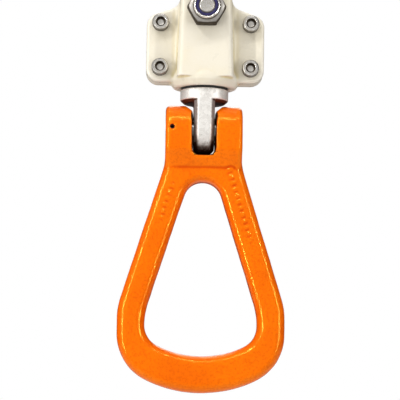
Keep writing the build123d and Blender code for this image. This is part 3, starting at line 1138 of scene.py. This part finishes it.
@dataclass
class PearLink:
    """The orange link, its load pin and the pin that keeps it in."""

    finishes: Finishes
    skin: Skin = Skin(voxel=0.55, relax=5, wave=0.3, wave_length=11.0)
    pin_radius: float = 5.0
    slot: Slot = Slot()
    wall_build_up: float = 0.33
    below_floor: float = 1.0
    above_floor: float = 2.5
    beside_wall: float = 2.0
    dot: tuple[float, float, float] = (1.0, 0.9, 0.9)
    bar: tuple[float, float, float] = (2.0, 0.8, 0.6)
    dot_every: int = 3
    marks_left: int = 6
    marks_right: int = 12
    mark_radius: float = 1.0
    mark_pitch: float = 3.2
    first_left: tuple[float, float] = (-15.6, -89.0)
    first_right: tuple[float, float] = (13.2, -80.5)
    leg_front: float = -7.5
    leg_lean: float = 17.5
    seam_height: float = -77.2
    seam_half_width: float = 18.0
    seam_radius: float = 0.95

    def build(self) -> None:
        """Build the forging and its pins."""
        rough = rough_copy("pear_link")
        self.thicken_slot(rough)
        self.raise_seam(rough)
        self.raise_marks(rough, self.first_left, self.marks_left)
        self.raise_marks(rough, self.first_right, self.marks_right)
        link = self.skin.over(rough, "pear_link_forging", self.finishes.orange)
        install(link, "link", "orange_enamel", "pear_link")
        low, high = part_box("load_pin")
        half = (high.x - low.x) / 2 / MM
        pin = finished(
            self.pin_mesh(half), "load_pin_ground", Facing.RIGHT, middle("load_pin"),
            self.finishes.pin,
        )
        install(pin, "link", "pin_steel", "load_pin")
        dress("spring_pin", self.finishes.spring)

    def thicken_slot(self, rough: bmesh.types.BMesh) -> None:
        """Bring the slot's walls and floor in by the paint and grease that lie on them.

        Args:
            rough: The link's rough mesh.
        """
        slot = self.slot
        near = [
            v for v in rough.verts
            if slot.floor - self.below_floor < v.co.z / MM < slot.mouth
            and abs(v.co.x) / MM < slot.half_width + self.beside_wall
        ]
        for side in (-1, 1):
            wall = [v for v in near if v.co.x * side > slot.half_width * MM / 2]
            bmesh.ops.translate(rough, vec=(-side * self.wall_build_up * MM, 0, 0), verts=wall)
        floor = [v for v in near if v.co.z / MM < slot.floor + self.above_floor]
        bmesh.ops.translate(rough, vec=(0, 0, self.wall_build_up * MM), verts=floor)

    def raise_seam(self, rough: bmesh.types.BMesh) -> None:
        """Add the ridge across the front where the head's slope meets the legs.

        Args:
            rough: The link's rough mesh.
        """
        ridge = bmesh.ops.create_cone(
            rough, cap_ends=True, segments=12, radius1=self.seam_radius * MM,
            radius2=self.seam_radius * MM, depth=2 * self.seam_half_width * MM,
        )["verts"]
        bmesh.ops.transform(rough, matrix=Facing.RIGHT.value, verts=ridge)
        place = Vector((0, self.leg_front, self.seam_height)) * MM
        bmesh.ops.translate(rough, vec=place, verts=ridge)

    def raise_marks(self, rough: bmesh.types.BMesh, first: tuple[float, float],
                    count: int) -> None:
        """Add a row of plain raised bars and dots down the front of one leg.

        Args:
            rough: The link's rough mesh.
            first: Where the row starts, across and up, in millimetres.
            count: How many bars and dots it has.
        """
        side = math.copysign(1, first[0])
        slope = side * math.tan(math.radians(self.leg_lean))
        lean = Matrix.Rotation(math.radians(-side * self.leg_lean), 4, "Y")
        for step in range(count):
            down = step * self.mark_pitch
            place = Vector((first[0] + down * slope, self.leg_front, first[1] - down)) * MM
            stretch = self.dot if step % self.dot_every == 1 else self.bar
            mark = bmesh.ops.create_uvsphere(
                rough, u_segments=16, v_segments=10, radius=self.mark_radius * MM
            )["verts"]
            bmesh.ops.scale(rough, vec=stretch, verts=mark)
            bmesh.ops.transform(rough, matrix=Matrix.Translation(place) @ lean, verts=mark)

    def pin_mesh(self, half: float) -> bmesh.types.BMesh:
        """Ground pin with chamfered ends and centre marks.

        Args:
            half: Half the pin's length, in millimetres.

        Returns:
            The pin about its middle.
        """
        radius = self.pin_radius
        upper = [(radius, half - 0.7), (radius - 0.7, half), (0.9, half), (0.0, half - 0.6)]
        lower = [(r, -h) for r, h in reversed(upper)]
        work = spin_profile(lower + upper, closed=False)
        ease_edges(work, 0.1, 28)
        return work


# --------------------------------------------------------------------------
# Studio
# --------------------------------------------------------------------------


@dataclass(frozen=True)
class SoftBox:
    """One rectangular light: place and size in metres, power in watts."""

    name: str
    where: tuple[float, float, float]
    width: float
    height: float
    power: float


@dataclass
class Studio:
    """Floor, lights, surroundings and camera."""

    boxes: tuple[SoftBox, ...] = (
        SoftBox("key", (-0.45, -0.6, 0.55), 0.2, 0.2, 2.6),
        SoftBox("left_strip", (-0.62, -0.42, -0.08), 0.014, 0.6, 3.0),
        SoftBox("right_strip", (0.62, -0.42, -0.05), 0.014, 0.5, 2.0),
        SoftBox("top_strip", (0.05, -0.42, 0.5), 0.6, 0.025, 1.1),
        SoftBox("top", (0.0, 0.2, 0.8), 0.6, 0.4, 1.6),
        SoftBox("back", (0.1, 0.9, 0.6), 0.6, 0.6, 2.8),
    )

    floor_drop: float = 0.45
    floor_glow: float = 0.12
    camera_side: float = -0.0213
    camera_back: float = -0.82
    camera_height: float = -0.1864
    aim_side: float = -0.0013
    aim_height: float = -0.0954
    lens: float = 146.0
    lean: float = 0.95
    sensor: float = 36.0
    floor_size: float = 2.2
    dim: float = 0.04
    bright: float = 0.6
    bright_side: tuple[float, float, float] = (-0.15, -0.85, 0.5)

    def build(self) -> None:
        """Set the whole studio up."""
        self.build_floor()
        self.build_world()
        self.build_lights()
        self.build_camera()
        bpy.context.scene.view_settings.view_transform = "Standard"

    def build_floor(self) -> None:
        """A pale floor well below the hanging link."""
        work = bmesh.new()
        bmesh.ops.create_grid(work, x_segments=2, y_segments=2, size=self.floor_size)
        height = CAD_BOX[0].z - self.floor_drop
        bmesh.ops.translate(work, vec=(0, 0, height), verts=work.verts)
        mesh = bpy.data.meshes.new("floor")
        work.to_mesh(mesh)
        work.free()
        graph = Graph.of_material("pale_floor")
        tone = graph.mix(graph.noise(6, 3) * 0.3, (0.86, 0.86, 0.86), (0.82, 0.82, 0.82))
        floor = placed(mesh, "floor", graph.finish({
            "Base Color": tone,
            "Roughness": 0.8,
            "Emission Color": (1.0, 1.0, 1.0, 1.0),
            "Emission Strength": self.floor_glow,
        }))

    def build_world(self) -> None:
        """White surroundings for the camera; for the light, brightest in front and above."""
        world = bpy.data.worlds.new("studio")
        bpy.context.scene.world = world
        graph = Graph(world)
        ahead = graph.node("ShaderNodeTexCoord", output="Generated")
        facing = graph.node(
            "ShaderNodeVectorMath", {"operation": "DOT_PRODUCT"}, {0: ahead, 1: self.bright_side}, 1
        )
        soft = self.dim + (self.bright - self.dim) * facing.within(-0.2, 1.0)
        seen = graph.node("ShaderNodeLightPath", output="Is Camera Ray")
        strength = seen + (1.0 - seen) * soft
        shader = graph.node("ShaderNodeBackground", None, {"Color": (1, 1, 1, 1), "Strength": strength})
        graph.output("ShaderNodeOutputWorld", shader)

    def build_lights(self) -> None:
        """Soft boxes round the object, aimed at its middle."""
        target = Vector((0, 0, (CAD_BOX[0].z + CAD_BOX[1].z) / 2))
        for box in self.boxes:
            data = bpy.data.lights.new(box.name, "AREA")
            data.shape = "RECTANGLE"
            data.size = box.width
            data.size_y = box.height
            data.energy = box.power
            lamp = bpy.data.objects.new(box.name, data)
            lamp.location = box.where
            lamp.rotation_euler = (target - Vector(box.where)).to_track_quat("-Z", "Y").to_euler()
            bpy.context.scene.collection.objects.link(lamp)

    def build_camera(self) -> None:
        """A long lens just below the link's middle, leaning as the object hangs."""
        place = Vector((self.camera_side, self.camera_back, self.camera_height))
        aim = Vector((self.aim_side, 0, self.aim_height))
        ahead = (aim - place).normalized()
        right = ahead.cross(Vector((0, 0, 1))).normalized()
        up = right.cross(ahead)
        lean = math.radians(self.lean)
        across = right * math.cos(lean) + up * math.sin(lean)
        upward = up * math.cos(lean) - right * math.sin(lean)
        turn = Matrix((across, upward, -ahead)).transposed()
        data = bpy.data.cameras.new("camera")
        data.lens = self.lens
        data.sensor_width = self.sensor
        data.clip_start = 0.01
        camera = bpy.data.objects.new("camera", data)
        camera.matrix_world = Matrix.Translation(place) @ turn.to_4x4()
        bpy.context.scene.collection.objects.link(camera)
        bpy.context.scene.camera = camera


def main() -> None:
    """Build every sub-assembly in order."""
    logging.basicConfig(level=logging.INFO, format="%(message)s")
    finishes = Finishes()
    Housing(finishes).build()
    AnchorFastener(finishes).build()
    Swivel(finishes).build()
    PearLink(finishes).build()
    Studio().build()


if __name__ == "__main__":
    main()
